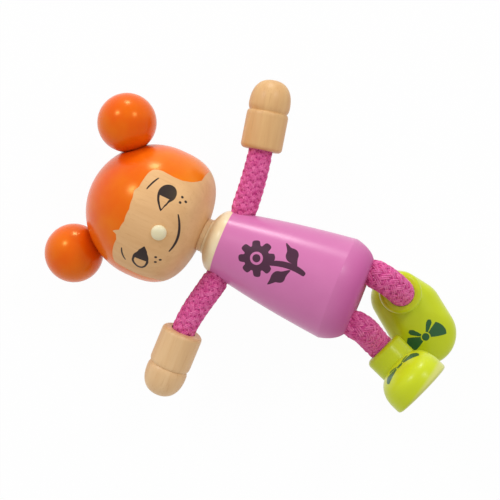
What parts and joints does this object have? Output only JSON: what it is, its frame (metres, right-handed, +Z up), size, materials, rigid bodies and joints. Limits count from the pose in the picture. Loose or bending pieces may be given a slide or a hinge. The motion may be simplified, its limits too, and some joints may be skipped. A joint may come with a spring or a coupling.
{
  "type": "bendable wooden doll",
  "caption": "Small turned wooden doll lying on its back, with rope arms and legs on wire cores that bend, a head that turns, hair buns and shoes.",
  "frame": {"origin": "on the floor that the doll lies on, under the middle of its bounding box", "axes": "+Y toward the doll's head, +Z up out of its chest, +X to the doll's left"},
  "size_m": [0.0906, 0.1138, 0.0384],
  "materials": {
    "hair": "orange gloss lacquer on turned beech, with a bare face",
    "bare_wood": "bare turned beech, smooth sanded",
    "nose": "cream satin paint",
    "dress": "lilac pink satin lacquer, cream above the neckline, with a dark purple print",
    "rope": "braided cotton cord, pink",
    "wire": "soft drawn wire",
    "shoe": "lime green gloss lacquer with a dark green bow"
  },
  "bodies": {
    "trunk": {"body": "dress", "neck_peg": "bare_wood"},
    "head": {"head": "hair", "nose": "nose", "bun_left": "hair", "bun_right": "hair", "bun_peg_left": "bare_wood", "bun_peg_right": "bare_wood"},
    "arm_left": {"arm_left_rope": "rope", "arm_left_wire": "wire"},
    "hand_left": {"hand_left": "bare_wood"},
    "arm_right": {"arm_right_rope": "rope", "arm_right_wire": "wire"},
    "hand_right": {"hand_right": "bare_wood"},
    "leg_left": {"leg_left_rope": "rope", "leg_left_wire": "wire"},
    "foot_left": {"shoe_left": "shoe"},
    "leg_right": {"leg_right_rope": "rope", "leg_right_wire": "wire"},
    "foot_right": {"shoe_right": "shoe"}
  },
  "joints": [
    {"name": "head_turn", "type": "hinge", "parent": "trunk", "child": "head", "pos_m": [-0.00044, 0.01693, 0.01976], "axis": [0.0419, 0.9945, -0.0958], "continuous": true},
    {"name": "arm_left_raise", "type": "hinge", "parent": "trunk", "child": "arm_left", "pos_m": [0.01314, 0.01053, 0.02037], "axis": [0, 0.0958, 0.9954], "range_deg": [-65, 35], "deforming": ["arm_left_rope", "arm_left_wire"]},
    {"name": "hand_left_swing", "type": "hinge", "parent": "arm_left", "child": "hand_left", "pos_m": [0.02195, 0.0114, 0.02029], "axis": [0, -0.9954, 0.0958], "range_deg": [-50, 60], "deforming": ["arm_left_rope", "arm_left_wire"]},
    {"name": "arm_right_raise", "type": "hinge", "parent": "trunk", "child": "arm_right", "pos_m": [-0.01384, 0.01119, 0.0202], "axis": [0, -0.0958, -0.9954], "range_deg": [-65, 35], "deforming": ["arm_right_rope", "arm_right_wire"]},
    {"name": "hand_right_swing", "type": "hinge", "parent": "arm_right", "child": "hand_right", "pos_m": [-0.02226, 0.01307, 0.01917], "axis": [0, 0.9954, -0.0958], "range_deg": [-40, 70], "deforming": ["arm_right_rope", "arm_right_wire"]},
    {"name": "leg_left_swing", "type": "hinge", "parent": "trunk", "child": "leg_left", "pos_m": [0.00654, -0.03099, 0.02362], "axis": [-0.7071, 0, 0.7071], "range_deg": [-15, 60], "deforming": ["leg_left_rope", "leg_left_wire"]},
    {"name": "foot_left_bend", "type": "hinge", "parent": "leg_left", "child": "foot_left", "pos_m": [0.00508, -0.03655, 0.01875], "axis": [-0.7071, 0, 0.7071], "range_deg": [-20, 45], "deforming": ["leg_left_rope", "leg_left_wire"]},
    {"name": "leg_right_swing", "type": "hinge", "parent": "trunk", "child": "leg_right", "pos_m": [-0.00799, -0.03054, 0.02296], "axis": [-0.7071, 0, -0.7071], "range_deg": [-4, 60], "deforming": ["leg_right_rope", "leg_right_wire"]},
    {"name": "foot_right_bend", "type": "hinge", "parent": "leg_right", "child": "foot_right", "pos_m": [-0.00974, -0.03502, 0.01754], "axis": [-1, 0, 0], "range_deg": [-20, 30], "deforming": ["leg_right_rope", "leg_right_wire"]}
  ]
}
